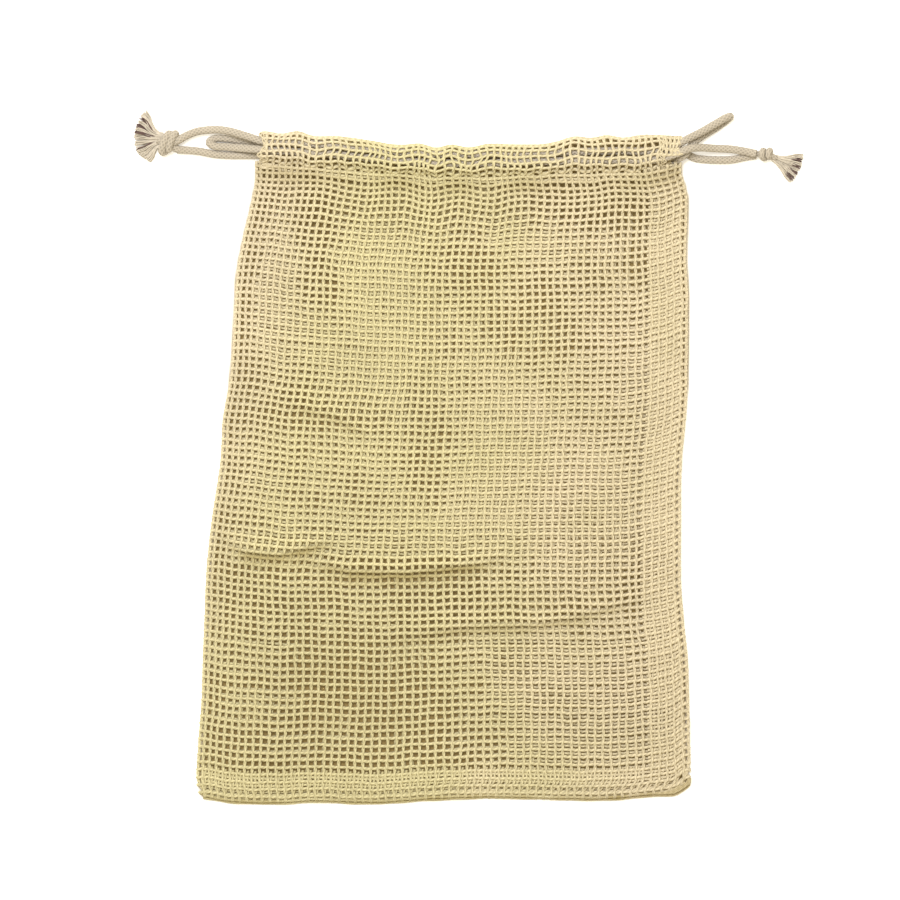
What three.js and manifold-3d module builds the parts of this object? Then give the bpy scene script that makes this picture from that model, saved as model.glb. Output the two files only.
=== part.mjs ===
// A drawstring produce bag of open cotton net, lying empty and flat on its back.
// Millimetres, +Z up. +X runs from the folded side to the sewn side and +Y from the bottom hem to the mouth.
// The origin is on the surface under the middle of the sack's own box.
import * as THREE from "three";
import { mergeVertices } from "three/addons/utils/BufferGeometryUtils.js";
import Module from "manifold-3d";

const wasm = await Module();
wasm.setup();

// Driving dimensions of the sack
const MESH_PITCH_X = 4.05; // from one lengthways thread of the net to the next
const MESH_PITCH_Y = 3.7; // from one crossways thread to the next
const FOLD_THICKNESS = 3.9; // two layers of net where they turn over at the folded side
const BELLY_THICKNESS = 4.2; // two slack layers of net in the middle
const SEAM_LIFT = 1.8; // what the turned-in seam allowances add
const SIDE_ALLOWANCE = 5.5 * MESH_PITCH_X;
const BOTTOM_ALLOWANCE = 3.5 * MESH_PITCH_Y;
const EDGE_REACH = 22; // how far from an edge the sack reaches its full thickness
const RIM_INSET = 1.6; // how far the rim rounds in above and below its middle

// Driving dimensions of the drawcords and of the two channels that hold them
const CORD_DIAMETER = 4;
const CORD_SIDES = 8;
const CORD_STEPS = 78;
const CHANNEL_WALL = 1.2;
const CHANNEL_CLEARANCE = 0.3; // above and below a cord
const CHANNEL_HEIGHT = CORD_DIAMETER + 2 * CHANNEL_CLEARANCE;
const MOUTH_GAP = 0.4; // between the front channel and the back one
const CASING_DEPTH = 20; // from the casing's stitches to its top fold, before the draw gathers it
const CASING_LEFT = -92.8;
const CASING_RIGHT = 116.3;
const FRONT_EXIT = 112; // where the front channel opens, just before the sewn side
const CHANNEL_FOOT = 1; // where both channels begin above the stitches, in that depth
const CHANNEL_HEAD = 18.6; // and where they end below the top fold
const CASING_OVERLAP = 1.5; // how far the casing runs down into the sack below its stitches
const CASING_PUFF = 0.7; // how far its front bulges down over them

// Heights of the two channels, from the surface upwards
const LOBE = CHANNEL_HEIGHT + 2 * CHANNEL_WALL;
const FRONT_LOBE = LOBE + MOUTH_GAP;
const CASING_THICKNESS = FRONT_LOBE + LOBE;
const BACK = LOBE / 2; // the middle of the back channel
const FRONT = FRONT_LOBE + LOBE / 2; // the middle of the front channel
const GATHER_THICKNESS = 10.2; // the sack just below the casing's stitches

// The sack's outline. Each list holds [where, how far] pairs, and a smooth curve runs through them.
const TOP_EDGE = [
  [CASING_LEFT, 171.5], [-76, 171.5], [-60, 169.6], [-30, 166.5], [0, 164.5],
  [46, 166], [77, 169.6], [98, 169.6], [CASING_RIGHT, 170.6],
];
const CASING_STITCHES = [
  [-96.4, 157.3], [-83.6, 156.1], [-73.4, 155], [-53, 153.3], [-22.4, 151], [0, 149.7],
  [38.8, 150.2], [69.4, 151.7], [95.4, 151.7], [110.2, 153.8], [122.4, 157],
];
const BOTTOM_EDGE = [
  [-126.5, -168.5], [-106, -171.1], [-84, -171.5], [-68, -170.6], [-38, -171.5], [-7, -169.6],
  [23, -168.6], [77, -169.6], [106, -167.5], [116, -166], [124, -161],
];
const LEFT_EDGE = [
  [-171.5, -124.4], [-158, -126.5], [-138, -125.5], [-117, -123.9], [-87, -122.9], [-66, -121.9],
  [-46, -120.9], [-26, -118.8], [5, -114.2], [25, -113.2], [46, -111.2], [66, -109.7],
  [97, -108.1], [117, -104.6], [137, -100], [151.7, -97.7],
];
const RIGHT_EDGE = [
  [-165, 122.6], [-158, 126], [-138, 125.5], [-97, 124.4], [-77, 122.4], [-56, 120.9],
  [-15, 120.9], [5, 121.4], [25, 123.4], [46, 126], [86, 126.5], [107, 125.5],
  [137, 126], [147, 123.9], [151.2, 122.4],
];

// Folds in the slack net: each runs from one point to another, rises or sinks by height and fades over reach.
const FOLDS = [
  { from: [-28, -88], to: [110, -36], height: 3.2, reach: 8 },
  { from: [-18, -98], to: [114, -50], height: -1.6, reach: 6 },
  { from: [-112, -35], to: [-56, -38], height: 2.2, reach: 7 },
  { from: [-71, -45], to: [-17, -51], height: 2.2, reach: 7 },
  { from: [-17, -51], to: [34, -42], height: 1.8, reach: 6 },
  { from: [-81, 36], to: [-36, 24], height: 1.6, reach: 8 },
  { from: [-6, 148], to: [-10, 30], height: 1.5, reach: 9 },
  { from: [-70, 150], to: [-64, 84], height: 1.2, reach: 10 },
  { from: [78, 150], to: [70, 96], height: 1.2, reach: 12 },
  { from: [40, 150], to: [34, 100], height: -1, reach: 11 },
  { from: [31, -97], to: [64, -128], height: 1.3, reach: 7 },
];

// The drawcords' routes, as points on the centre line. Each cord leaves its knot, runs through the front
// channel, turns back in a short loop past the far side and returns through the back channel.
const LEFT_CORD_ROUTE = [
  [-136.2, 167.4, 5.4], [-131.1, 170.4, 4.9], [-125.5, 172.5, 4.7], [-116.8, 173.3, 5.6],
  [-110.2, 172.6, 7], [-104, 170.9, 8.7], [-97.9, 168.9, 10.3], [-92.8, 167.3, FRONT],
  [-80, 166.5, FRONT], [-60, 165.3, FRONT], [-30, 162.4, FRONT], [0, 160.6, FRONT],
  [30, 160.8, FRONT], [60, 161.6, FRONT], [90, 162.2, FRONT], [108, 162.3, FRONT],
  [117.8, 165, 11.1], [123.4, 168, 10.6], [130.6, 171.7, 9], [138.2, 176.1, 7.1],
  [143, 178.9, 6.5], [146, 180.1, 4.4], [143.4, 177.7, 2.2], [138.9, 174.5, 2.3],
  [131.4, 169.9, 4.3], [127.2, 166.6, 6.2], [124.7, 163.3, 7.1], [122.5, 160.2, 7.5],
  [120.5, 159.1, 6.5], [118.5, 158.7, 4.5], [116.3, 158.7, BACK], [108, 158.3, BACK],
  [90, 157.9, BACK], [60, 157.1, BACK], [30, 156.2, BACK], [0, 155.7, BACK], [-30, 157.2, BACK],
  [-60, 159, BACK], [-80, 160, BACK], [-92.8, 160.4, BACK], [-101.5, 160.4, 2.7],
  [-109.1, 160.4, 2.2], [-116.8, 160.9, 2.2], [-125.5, 162.5, 2.2], [-131, 163, 2.3], [-136.2, 163.2, 2.7],
];
const RIGHT_CORD_ROUTE = [
  [159.2, 161, 6.5], [152.5, 162.4, 5.5], [146, 163.4, 4.8], [138.2, 163.7, 6.1],
  [131, 163.9, 9.3], [125, 163.4, 11.7], [118, 160.7, 11.6], [108, 157.8, FRONT],
  [90, 157.6, FRONT], [60, 157.1, FRONT], [30, 156.2, FRONT], [0, 156, FRONT],
  [-30, 157.8, FRONT], [-60, 160.8, FRONT], [-80, 162, FRONT], [-92.8, 162.8, FRONT],
  [-97.9, 163.3, 9.8], [-104, 163.9, 6.6], [-111.7, 164.6, 4.3], [-117, 165, 3.7],
  [-119.9, 167, 2.8], [-117, 168.9, 2.2], [-111.7, 168.9, 2.2], [-104, 167.9, 2.2],
  [-97.9, 167, 2.7], [-92.8, 166.2, BACK], [-80, 165.2, BACK], [-60, 164.4, BACK],
  [-30, 161.8, BACK], [0, 160.2, BACK], [30, 160.7, BACK], [60, 161.8, BACK],
  [90, 162.5, BACK], [108, 163, BACK], [115, 163.6, BACK], [119.6, 163.4, 2.6],
  [124, 161, 2.2], [128, 159, 2.2], [132.5, 158.3, 2.2], [138.2, 158, 2.2],
  [147.4, 158.2, 2.2], [153, 159.4, 2.2], [159.2, 160.4, 2.2],
];

// The knots and the frayed ends past them
const LEFT_KNOT = { centre: [-141.5, 166.6, 4.9], radii: [4.5, 6.6, 4.7] };
const RIGHT_KNOT = { centre: [164, 160.7, 4.6], radii: [4.2, 3.6, 4.4] };
const LEFT_FRAY = { centre: [-146.6, 168], neck: 3, length: 12.4, from: 1.85, to: 4.35, thickness: 4.4 };
const RIGHT_FRAY = { centre: [168.7, 158.6], neck: 2.2, length: 15, from: -0.72, to: 0.02, thickness: 4 };
const FRAY_CLEARANCE = 0.3; // above the surface

const COLOURS = { net: 0xead9ab, cord: 0xd3c7af, fray: 0xcbbba0 };

// A value on the smooth curve through [where, how far] pairs, which never swings past them.
function through(pairs, where) {
  const last = pairs.length - 1;
  if (where <= pairs[0][0]) return pairs[0][1];
  if (where >= pairs[last][0]) return pairs[last][1];
  const slope = (i) => (pairs[i + 1][1] - pairs[i][1]) / (pairs[i + 1][0] - pairs[i][0]);
  const tangent = (i) => {
    if (i === 0 || i === last) return 0;
    const product = slope(i - 1) * slope(i);
    return product <= 0 ? 0 : (2 * product) / (slope(i - 1) + slope(i));
  };
  const i = pairs.findIndex((pair) => pair[0] > where) - 1;
  const span = pairs[i + 1][0] - pairs[i][0];
  const t = (where - pairs[i][0]) / span;
  return (
    pairs[i][1] * (2 * t ** 3 - 3 * t ** 2 + 1) +
    pairs[i + 1][1] * (3 * t ** 2 - 2 * t ** 3) +
    tangent(i) * span * (t ** 3 - 2 * t ** 2 + t) +
    tangent(i + 1) * span * (t ** 3 - t ** 2)
  );
}

const { lerp, smoothstep } = THREE.MathUtils;

// How far a fold lifts the net at a place: full height along its line, fading across it and past its ends.
function foldLift(fold, x, y) {
  const along = [fold.to[0] - fold.from[0], fold.to[1] - fold.from[1]];
  const reach = [x - fold.from[0], y - fold.from[1]];
  const squared = along[0] ** 2 + along[1] ** 2;
  const part = THREE.MathUtils.clamp((reach[0] * along[0] + reach[1] * along[1]) / squared, 0, 1);
  const away = Math.hypot(reach[0] - part * along[0], reach[1] - part * along[1]);
  return fold.height * Math.exp(-((away / fold.reach) ** 2));
}

// The height of the front of the sack at a place inside its outline.
function frontHeight(x, y) {
  const left = x - through(LEFT_EDGE, y);
  const right = through(RIGHT_EDGE, y) - x;
  const bottom = y - through(BOTTOM_EDGE, x);
  const casing = through(CASING_STITCHES, x) - y;
  const inside = Math.min(left, right, bottom);
  const slack = smoothstep(inside, 0, EDGE_REACH);
  const gathered = 1 - smoothstep(casing, 0, 1.6 * EDGE_REACH);
  const flat = lerp(FOLD_THICKNESS, BELLY_THICKNESS, slack);
  const seam = Math.max(
    1 - smoothstep(right, SIDE_ALLOWANCE - 3, SIDE_ALLOWANCE + 3),
    1 - smoothstep(bottom, BOTTOM_ALLOWANCE - 3, BOTTOM_ALLOWANCE + 3),
  );
  const folds = FOLDS.reduce((sum, fold) => sum + foldLift(fold, x, y), 0);
  const rise = (GATHER_THICKNESS - flat) * gathered;
  return flat + SEAM_LIFT * seam + folds * slack * (1 - gathered) + rise * smoothstep(inside, -1, 12);
}

// A closed geometry as a manifold solid, and a solid back as a geometry.
function solid(geometry) {
  const bare = geometry.clone();
  bare.deleteAttribute("normal");
  bare.deleteAttribute("uv");
  const merged = mergeVertices(bare, 1e-4);
  const mesh = { numProp: 3, vertProperties: merged.attributes.position.array, triVerts: merged.index.array };
  return new wasm.Manifold(new wasm.Mesh({ ...mesh, triVerts: new Uint32Array(mesh.triVerts) }));
}

function geometryOf(shape) {
  const mesh = shape.getMesh();
  const geometry = new THREE.BufferGeometry();
  geometry.setAttribute("position", new THREE.BufferAttribute(new Float32Array(mesh.vertProperties), 3));
  geometry.setIndex(new THREE.BufferAttribute(mesh.triVerts, 1));
  geometry.computeVertexNormals();
  return geometry;
}

// Moves every point of a geometry by a rule.
function reshape(geometry, rule) {
  const place = geometry.attributes.position;
  const point = new THREE.Vector3();
  for (let i = 0; i < place.count; i++) {
    point.fromBufferAttribute(place, i);
    rule(point);
    place.setXYZ(i, point.x, point.y, point.z);
  }
  return geometry;
}

// The two layers of net below the casing, as one soft slab with a flat back and a rounded rim.
function panels() {
  const slab = new THREE.BoxGeometry(1, 1, 1, 22, 28, 2);
  const width = through(RIGHT_EDGE, 0) - through(LEFT_EDGE, 0);
  return reshape(slab, (point) => {
    const across = point.x + 0.5;
    const rough = through(LEFT_EDGE, 0) + across * width;
    const y = lerp(through(BOTTOM_EDGE, rough), through(CASING_STITCHES, rough), point.y + 0.5);
    const x = lerp(through(LEFT_EDGE, y), through(RIGHT_EDGE, y), across);
    const height = frontHeight(x, y) * (point.z + 0.5);
    const inset = Math.abs(point.z) < 0.25 ? 0 : RIM_INSET;
    const side = Math.abs(point.x) < 0.5 ? 0 : inset * Math.sign(point.x);
    const end = point.y > -0.5 ? 0 : inset;
    point.set(x - side, y + end, height);
  });
}

// A slot with round ends, the room inside one channel.
function slot(low, high, floor) {
  const radius = CHANNEL_HEIGHT / 2;
  const middle = floor + CHANNEL_WALL + radius;
  const path = new THREE.Path();
  path.absarc(low + radius, middle, radius, 0.5 * Math.PI, 1.5 * Math.PI, false);
  path.absarc(high - radius, middle, radius, -0.5 * Math.PI, 0.5 * Math.PI, false);
  return path;
}

// The casing: the front channel over the back one, with the bag's shut mouth as a slit between them.
function casing() {
  const round = LOBE / 2;
  const top = CASING_DEPTH;
  const slit = [5, FRONT_LOBE - MOUTH_GAP];
  const section = new THREE.Shape();
  section.moveTo(-CASING_OVERLAP, 0);
  section.lineTo(top - round, 0);
  section.absarc(top - round, round, round, -0.5 * Math.PI, 0.5 * Math.PI, false);
  section.lineTo(slit[0], slit[1]);
  section.lineTo(slit[0], slit[1] + MOUTH_GAP);
  section.absarc(top - round, FRONT_LOBE + round, round, -0.5 * Math.PI, 0.5 * Math.PI, false);
  section.absarc(round - CASING_PUFF, FRONT_LOBE + round, round, 0.5 * Math.PI, 1.1 * Math.PI, false);
  section.lineTo(-CASING_OVERLAP, GATHER_THICKNESS - CASING_PUFF);
  section.closePath();
  section.holes.push(slot(CHANNEL_FOOT, CHANNEL_HEAD, 0), slot(CHANNEL_FOOT, CHANNEL_HEAD, FRONT_LOBE));
  const length = CASING_RIGHT - CASING_LEFT;
  const tube = new THREE.ExtrudeGeometry(section, { depth: length, steps: 26, curveSegments: 4, bevelEnabled: false });
  return reshape(tube, (point) => {
    const x = CASING_LEFT + point.z;
    const foot = through(CASING_STITCHES, x);
    const part = point.x / CASING_DEPTH;
    const outside = smoothstep(point.y, CASING_THICKNESS - CHANNEL_WALL, CASING_THICKNESS);
    const pucker = 0.45 * (1 + Math.sin(x / 3.7) * Math.cos(x / 9.1 + 1));
    point.set(x, foot + part * (through(TOP_EDGE, x) - foot), point.y + pucker * outside);
  });
}

// The net sack: one piece of net, sewn along one side and the bottom, with its top turned over as the casing.
function netSack() {
  const block = new THREE.BoxGeometry(20, 30, 20);
  block.translate(FRONT_EXIT + 10, 168.5, FRONT_LOBE - MOUTH_GAP / 2 + 10);
  return geometryOf(solid(panels()).add(solid(casing())).subtract(solid(block)));
}

// A drawcord as one round tube along its whole route.
function drawcord(route) {
  const section = new THREE.Shape();
  section.absarc(0, 0, CORD_DIAMETER / 2, 0, 2 * Math.PI, false);
  const points = route.map(([x, y, z]) => new THREE.Vector3(x, y, z));
  const path = new THREE.CatmullRomCurve3(points, false, "centripetal");
  path.arcLengthDivisions = 2000;
  return new THREE.ExtrudeGeometry(section, { steps: CORD_STEPS, curveSegments: CORD_SIDES / 2, extrudePath: path });
}

// A knot's outer form: a rounded lump with a shallow waist where its turns cross.
function knot({ centre, radii }) {
  const ball = new THREE.SphereGeometry(1, 18, 12);
  return reshape(ball, (point) => {
    const waist = 1 - 0.09 * Math.cos(3 * Math.atan2(point.z, point.y)) * (1 - point.x ** 2);
    point.set(
      centre[0] + radii[0] * point.x,
      centre[1] + radii[1] * point.y * waist,
      centre[2] + radii[2] * point.z * Math.min(waist, 1),
    );
  });
}

// A frayed cord end: a flat fan of loose yarn that opens from its neck, with a ragged rim.
function frayedEnd({ centre, neck, length, from, to, thickness }) {
  const strands = 11;
  const fan = new THREE.Shape();
  for (let i = 0; i <= strands; i++) {
    const angle = lerp(from, to, i / strands);
    const reach = length - (i % 2);
    const x = centre[0] + reach * Math.cos(angle);
    const y = centre[1] + reach * Math.sin(angle);
    if (i === 0) fan.moveTo(x, y);
    else fan.lineTo(x, y);
  }
  const middle = (from + to) / 2;
  const side = [-Math.sin(middle), Math.cos(middle)];
  fan.lineTo(centre[0] + neck * side[0], centre[1] + neck * side[1]);
  fan.lineTo(centre[0] - neck * side[0], centre[1] - neck * side[1]);
  fan.closePath();
  const slab = new THREE.ExtrudeGeometry(fan, { depth: thickness, bevelEnabled: false });
  slab.translate(0, 0, FRAY_CLEARANCE);
  return slab;
}

const bag = new THREE.Group();

function place(name, geometry, color, roughness) {
  const mesh = new THREE.Mesh(geometry, new THREE.MeshStandardMaterial({ color, roughness, metalness: 0 }));
  mesh.name = name;
  bag.add(mesh);
}

place("net_sack", netSack(), COLOURS.net, 0.95);
place("drawcord_left", drawcord(LEFT_CORD_ROUTE), COLOURS.cord, 0.9);
place("drawcord_right", drawcord(RIGHT_CORD_ROUTE), COLOURS.cord, 0.9);
place("knot_left", knot(LEFT_KNOT), COLOURS.cord, 0.9);
place("knot_right", knot(RIGHT_KNOT), COLOURS.cord, 0.9);
place("frayed_end_left", frayedEnd(LEFT_FRAY), COLOURS.fray, 0.95);
place("frayed_end_right", frayedEnd(RIGHT_FRAY), COLOURS.fray, 0.95);

export default bag;
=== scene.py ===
"""A drawstring produce bag of open cotton net, lying empty and flat, knotted from threads.

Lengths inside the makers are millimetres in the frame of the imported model, and meshes are handed
to Blender in metres. +X runs from the folded side to the sewn side and +Y from the hem to the mouth.
"""

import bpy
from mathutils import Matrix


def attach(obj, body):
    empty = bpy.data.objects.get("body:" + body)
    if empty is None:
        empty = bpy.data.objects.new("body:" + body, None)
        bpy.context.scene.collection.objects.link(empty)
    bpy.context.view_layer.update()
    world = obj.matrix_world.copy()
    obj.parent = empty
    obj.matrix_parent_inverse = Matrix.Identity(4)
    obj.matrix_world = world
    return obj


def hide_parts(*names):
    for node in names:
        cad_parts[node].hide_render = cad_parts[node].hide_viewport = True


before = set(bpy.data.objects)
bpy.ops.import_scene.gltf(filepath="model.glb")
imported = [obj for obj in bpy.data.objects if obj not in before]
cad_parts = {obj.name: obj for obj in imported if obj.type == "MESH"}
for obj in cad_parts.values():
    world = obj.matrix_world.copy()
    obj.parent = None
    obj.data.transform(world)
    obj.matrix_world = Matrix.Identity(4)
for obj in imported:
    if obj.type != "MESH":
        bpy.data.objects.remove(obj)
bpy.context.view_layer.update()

import math

import bpy
import numpy as np
from bpy.props import FloatProperty, FloatVectorProperty, IntProperty, PointerProperty
from mathutils import Vector

bl_info = {
    "name": "Cotton net drawstring bag",
    "version": (1, 0, 0),
    "blender": (4, 5, 0),
    "location": "View3D > Sidebar > Net Bag",
    "description": "Makes an empty cotton net produce bag thread by thread, with its two drawcords",
    "category": "Object",
}

MM = 0.001

# Where the casing's openings lie: both on the left, the back's and the front's on the right
CASING_LEFT = -92.8
CASING_RIGHT = 116.3
FRONT_EXIT = 112.0
# The sack's outline in millimetres, as (where, how far) pairs that a smooth curve runs through
TOP_EDGE = [
    (CASING_LEFT, 171.5), (-76, 171.5), (-60, 169.6), (-30, 166.5), (0, 164.5),
    (46, 166), (77, 169.6), (98, 169.6), (CASING_RIGHT, 170.6),
]
CASING_STITCHES = [
    (-96.4, 157.3), (-83.6, 156.1), (-73.4, 155), (-53, 153.3), (-22.4, 151), (0, 149.7),
    (38.8, 150.2), (69.4, 151.7), (95.4, 151.7), (110.2, 153.8), (122.4, 157),
]
BOTTOM_EDGE = [
    (-126.5, -168.5), (-106, -171.1), (-84, -171.5), (-68, -170.6), (-38, -171.5), (-7, -169.6),
    (23, -168.6), (77, -169.6), (106, -167.5), (116, -166), (124, -161),
]
LEFT_EDGE = [
    (-171.5, -124.4), (-158, -126.5), (-138, -125.5), (-117, -123.9), (-87, -122.9), (-66, -121.9),
    (-46, -120.9), (-26, -118.8), (5, -114.2), (25, -113.2), (46, -111.2), (66, -109.7),
    (97, -108.1), (117, -104.6), (137, -100), (151.7, -97.7),
]
RIGHT_EDGE = [
    (-165, 122.6), (-158, 126), (-138, 125.5), (-97, 124.4), (-77, 122.4), (-56, 120.9),
    (-15, 120.9), (5, 121.4), (25, 123.4), (46, 126), (86, 126.5), (107, 125.5),
    (137, 126), (147, 123.9), (151.2, 122.4),
]

# Thicknesses of the lying sack, and the slack folds in its front: from, to, height, reach.
# The large folds lie where the solid sack's do.
FOLD_THICKNESS = 3.9
BELLY_THICKNESS = 4.2
GATHER_THICKNESS = 10.2
SEAM_LIFT = 1.8
SEAM_FADE = 3.0
EDGE_REACH = 22.0
FOLDS = [
    ((-10, -76), (110, -46), 1.6, 12),
    ((-78, 42), (-34, 30), 1.4, 9), ((-6, 148), (-10, 30), 1.5, 9),
    ((-70, 150), (-64, 84), 1.2, 10), ((78, 150), (70, 96), 1.2, 12),
    ((40, 150), (34, 100), -1.0, 11), ((31, -97), (64, -128), 1.3, 7),
    ((-86, -60), (-88, -160), 1.0, 7),
]
# Creases where the net above laps down over the net below: points on the line, height, reach
CREASES = [
    ([(-112, -36), (-101.5, -42.6), (-83.6, -43.6), (-56, -37)], 2.4, 9),
    ([(-71, -46.5), (-48, -52.2), (-17.3, -53), (18.4, -48.3), (34, -44)], 2.6, 9),
    ([(-81, 33.5), (-58, 27.8), (-37.7, 17.6)], 1.1, 7),
    ([(-34, -87), (-20, -85.4), (13, -80.3), (49, -79.3), (72, -74.2), (95, -67.6), (112, -62)], 1.5, 16),
]
CREASE_FADE = 0.28  # the part of a crease's length over which it grows from an end
CREASE_PULL = 0.42  # how far the net is drawn towards a crease, for each millimetre of its height
PULL_REACH = 7.0
LEAN_PLACE = (-68, -45)  # the columns lean apart where the two large creases meet
LEAN_REACH = (34, 20)

# The net: lengthways threads are pairs of twisted yarns, crossways threads pass between the two.
COLUMNS = 62
ROWS = 89
COLUMN_WIDTH = 4.05
ROW_HEIGHT = 3.7
SIDE_ALLOWANCE = 5.5  # in columns
BOTTOM_ALLOWANCE = 3.5  # in rows
ROW_RISE = [(0, 0), (22, 0.262), (84, 0.953), (ROWS, 1)]  # how far up the sack a row lies
FOLD_ARCH = (3.0, 23)  # how far the rows rise towards the folded side, and over what reach
SEWN_ARCH = (2.2, 18)  # and towards the sewn side
FRONT_SINK = 1.5  # the middle of the front net lies this far under the sack's front
YARN_REST = 0.62  # the least height of a lengthways yarn's middle over the surface
WEFT_REST = 0.88  # and of a crossways thread's
BACK_LIFT = 1.2  # the middle of the back net over the surface
LAYER_ROOM = 1.35  # the least distance between the middles of the front net and the back one
HEM_SETBACK = 1.3  # how far the front's hem stays back from the back's
HEM_FADE = 3.0  # in rows
CORNER_REACH = 4  # the last columns, where the turned hem is rolled round the corner
EDGE_TURN = 1.0  # how far a thread swings out where it turns over at an edge
EDGE_INSET = 1.6  # where the flat of the net ends before such a turn
FOLD_BULGE = 0.41  # how much rounder than a straight line a crossways thread runs into the fold
TWIST_LIFT = 0.60  # half the distance between the two yarns of a pair where they hold a crossways thread
TWIST_SPREAD = 0.34  # and half of it between two crossings
EDGE_SQUASH = 0.8  # how much of that lift is left in an edge or an allowance
CHANNEL_SQUASH = 0.45  # and where a drawcord presses the net
ALLOWANCE_STEP = {True: (0.46, 0.42), False: (0.27, -0.18)}  # columns and rows an allowance is out of step
EDGE_PAIRS = [  # column, how far out of the panel's edge, and how far down from the front to the back
    (0.0, -0.75, 0.5), (float(COLUMNS), 0.75, 0.165), (float(COLUMNS), 0.75, 0.835),
]
EDGE_BEND = (3.0, 2.6)  # such a pair bends in at the foot by so many times that, over so many rows
# Places where the back's holes lie under the front's: centre, reach, how much
OPEN_SPOTS = [
    ((13, 104), (15, 15), 1), ((57, 92), (24, 10), 1), ((102, 103), (17, 15), 1),
    ((85, 135), (36, 11), 1), ((-63, 89), (14, 12), 1), ((-66, 124), (14, 22), 1),
    ((100, -64), (12, 10), 1), ((-8, 0), (10, 24), 1), ((-60, 26), (22, 6), 1),
    ((-30, -52), (60, 7), 0.8), ((48, -75), (60, 7), 0.7),
    ((50, -128), (26, 12), 1), ((-10, -160), (70, 8), 0.8),
]

# Painted shade on the threads, in steps of the tint attribute: zero is the plain cotton, and the finish
# darkens it from -1.5 on.
CASING_SHADE = -5.5  # under the casing
FOOT_SHADE = -2.6  # at the foot, and in the slack lower left
HEM_SHADE = -6.0  # in the turn of the hem
SHADE_BELOW = -4.0  # below a crease, for each millimetre of its height
# a positive SHADE_ABOVE is painted light on the threads just above a crease
SHADE_ABOVE = 1.0  # and above it

# The casing: heights of its walls over the surface, and where its threads lie
OUTER_FRONT = 14.1
INNER_FRONT = 8.1
INNER_BACK = 6.3
OUTER_BACK = 0.85
CASING_ROWS = 9.5
CASING_ROWS_UP = (0.05, 0.20, 0.40, 0.61, 0.80, 0.93)  # how far up the casing its crossways threads lie
HEM_ROWS_UP = (-0.22, -0.09)  # and those of its inner hem, below the stitches
CASING_DEPTH = 15.0  # about how far the casing reaches up the sack, for the length of its wall
CASING_SHAPE = {  # for the front and the back
    # how far up the casing, and the height, from the stitches over the outer wall to the inner one
    True: [
        (0.0, 9.0), (0.02, 8.9), (0.05, 9.6), (0.10, 11.6), (0.18, 13.2), (0.30, 14.0), (0.5, OUTER_FRONT),
        (0.72, OUTER_FRONT), (0.86, 13.6), (0.95, 12.4), (0.975, 11.0), (0.95, 9.6), (0.87, 8.6),
        (0.74, INNER_FRONT), (0.5, INNER_FRONT), (0.3, INNER_FRONT), (0.1, 8.2), (-0.02, 7.9),
        (-0.26, 7.3),
    ],
    False: [
        (0.0, 1.3), (0.05, 1.0), (0.15, OUTER_BACK), (0.3, OUTER_BACK), (0.5, OUTER_BACK),
        (0.72, OUTER_BACK), (0.86, 1.0), (0.94, 2.0), (0.97, 3.5), (0.94, 5.0), (0.86, 6.0),
        (0.74, INNER_BACK), (0.5, INNER_BACK), (0.3, INNER_BACK), (0.1, INNER_BACK),
    ],
}
CASING_RIPPLES = (  # waves along the casing: length, how much it wanders, how fast, start
    (1.75, 0.9, 8.3, 0.6),  # the small gathers at the stitches
    (4.3, 1.6, 15.0),  # the wider gathers
    (3.1, 1.4, 11.0),  # the zigzag of the crossways threads
    (6.3, 2.0, 17.0),  # the lean of the lengthways threads
    (4.1, 2.0, 13.0),  # the ragged top
)
FLAP_FROM = 0.21  # how far round the casing's wall the flap begins and ends
FLAP_TO = 0.57
FLAP_END = 121.0  # how far to the right it reaches, and how far its end sinks
FLAP_DROP = 1.2
FLAP_PAIRS = (113.0, 115.4, 117.6, 119.6)  # where its lengthways pairs lie
STITCH_LENGTH = 2.8
STITCH_LIFT = (0.55, 0.42)  # the height of the sewing thread over the net, and how far it rises and dips
SEWING_THREAD = 0.00055  # its diameter in metres

# The drawcords' routes in millimetres, as points on the centre line, which runs at one of two heights
# inside the casing
BACK = 3.5
FRONT = 10.9
LEFT_CORD_ROUTE = [
    (-136.2, 167.4, 5.4), (-131.1, 170.4, 4.9), (-125.5, 172.5, 4.7), (-116.8, 173.3, 5.6),
    (-110.2, 172.6, 7), (-104, 170.9, 8.7), (-97.9, 168.9, 10.3), (-92.8, 167.3, FRONT),
    (-80, 166.5, FRONT), (-60, 165.3, FRONT), (-30, 162.4, FRONT), (0, 160.6, FRONT),
    (30, 160.8, FRONT), (60, 161.6, FRONT), (90, 162.2, FRONT), (108, 162.3, FRONT),
    (117.8, 165, 11.1), (123.4, 168, 10.6), (130.6, 171.7, 9), (138.2, 176.1, 7.1),
    (143, 178.9, 6.5), (146, 180.1, 4.4), (143.4, 177.7, 2.2), (138.9, 174.5, 2.3),
    (131.4, 169.9, 4.3), (127.2, 166.6, 6.2), (124.7, 163.3, 7.1), (122.5, 160.2, 7.5),
    (120.5, 159.1, 6.5), (118.5, 158.7, 4.5), (116.3, 158.7, BACK), (108, 158.3, BACK),
    (90, 157.9, BACK), (60, 157.1, BACK), (30, 156.2, BACK), (0, 155.7, BACK), (-30, 157.2, BACK),
    (-60, 159, BACK), (-80, 160, BACK), (-92.8, 160.4, BACK), (-101.5, 160.4, 2.7),
    (-109.1, 160.4, 2.2), (-116.8, 160.9, 2.2), (-125.5, 162.5, 2.2), (-131, 163, 2.3),
    (-136.2, 163.2, 2.7),
]
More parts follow.
